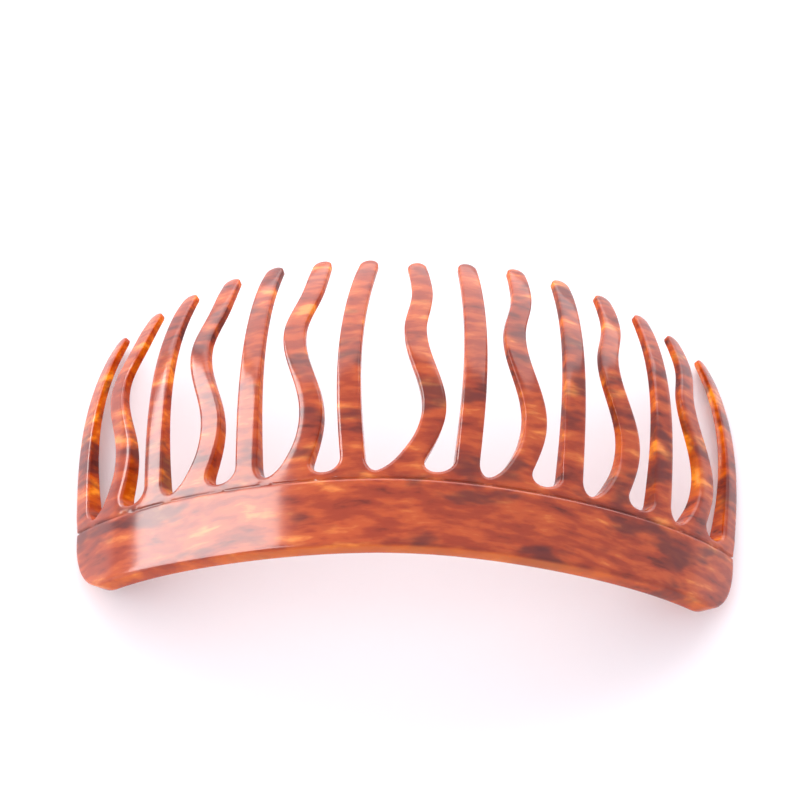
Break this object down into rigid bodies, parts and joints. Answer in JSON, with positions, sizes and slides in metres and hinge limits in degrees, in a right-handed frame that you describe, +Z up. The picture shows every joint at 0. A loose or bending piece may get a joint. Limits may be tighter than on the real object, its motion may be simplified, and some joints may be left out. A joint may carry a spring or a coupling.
{
  "type": "hair comb",
  "caption": "Curved tortoiseshell-effect hair comb: a wide arched band with a scored line across it and long teeth, alternately straight and wavy, curling towards the head.",
  "frame": {"origin": "middle of the bounding box, on the floor the comb lies on", "axes": "+X along the band from its left end to its right end, +Y from the band's back edge towards the tooth tips, +Z up, out of the convex face"},
  "size_m": [0.0968, 0.0482, 0.0261],
  "materials": {
    "band_acetate": "polished",
    "tooth_acetate": "polished"
  },
  "bodies": {
    "root": {"band": "band_acetate", "tooth_01": "tooth_acetate", "tooth_02": "tooth_acetate", "tooth_03": "tooth_acetate", "tooth_04": "tooth_acetate", "tooth_05": "tooth_acetate", "tooth_06": "tooth_acetate", "tooth_07": "tooth_acetate", "tooth_08": "tooth_acetate", "tooth_09": "tooth_acetate", "tooth_10": "tooth_acetate", "tooth_11": "tooth_acetate", "tooth_12": "tooth_acetate", "tooth_13": "tooth_acetate", "tooth_14": "tooth_acetate", "tooth_15": "tooth_acetate"}
  },
  "joints": []
}
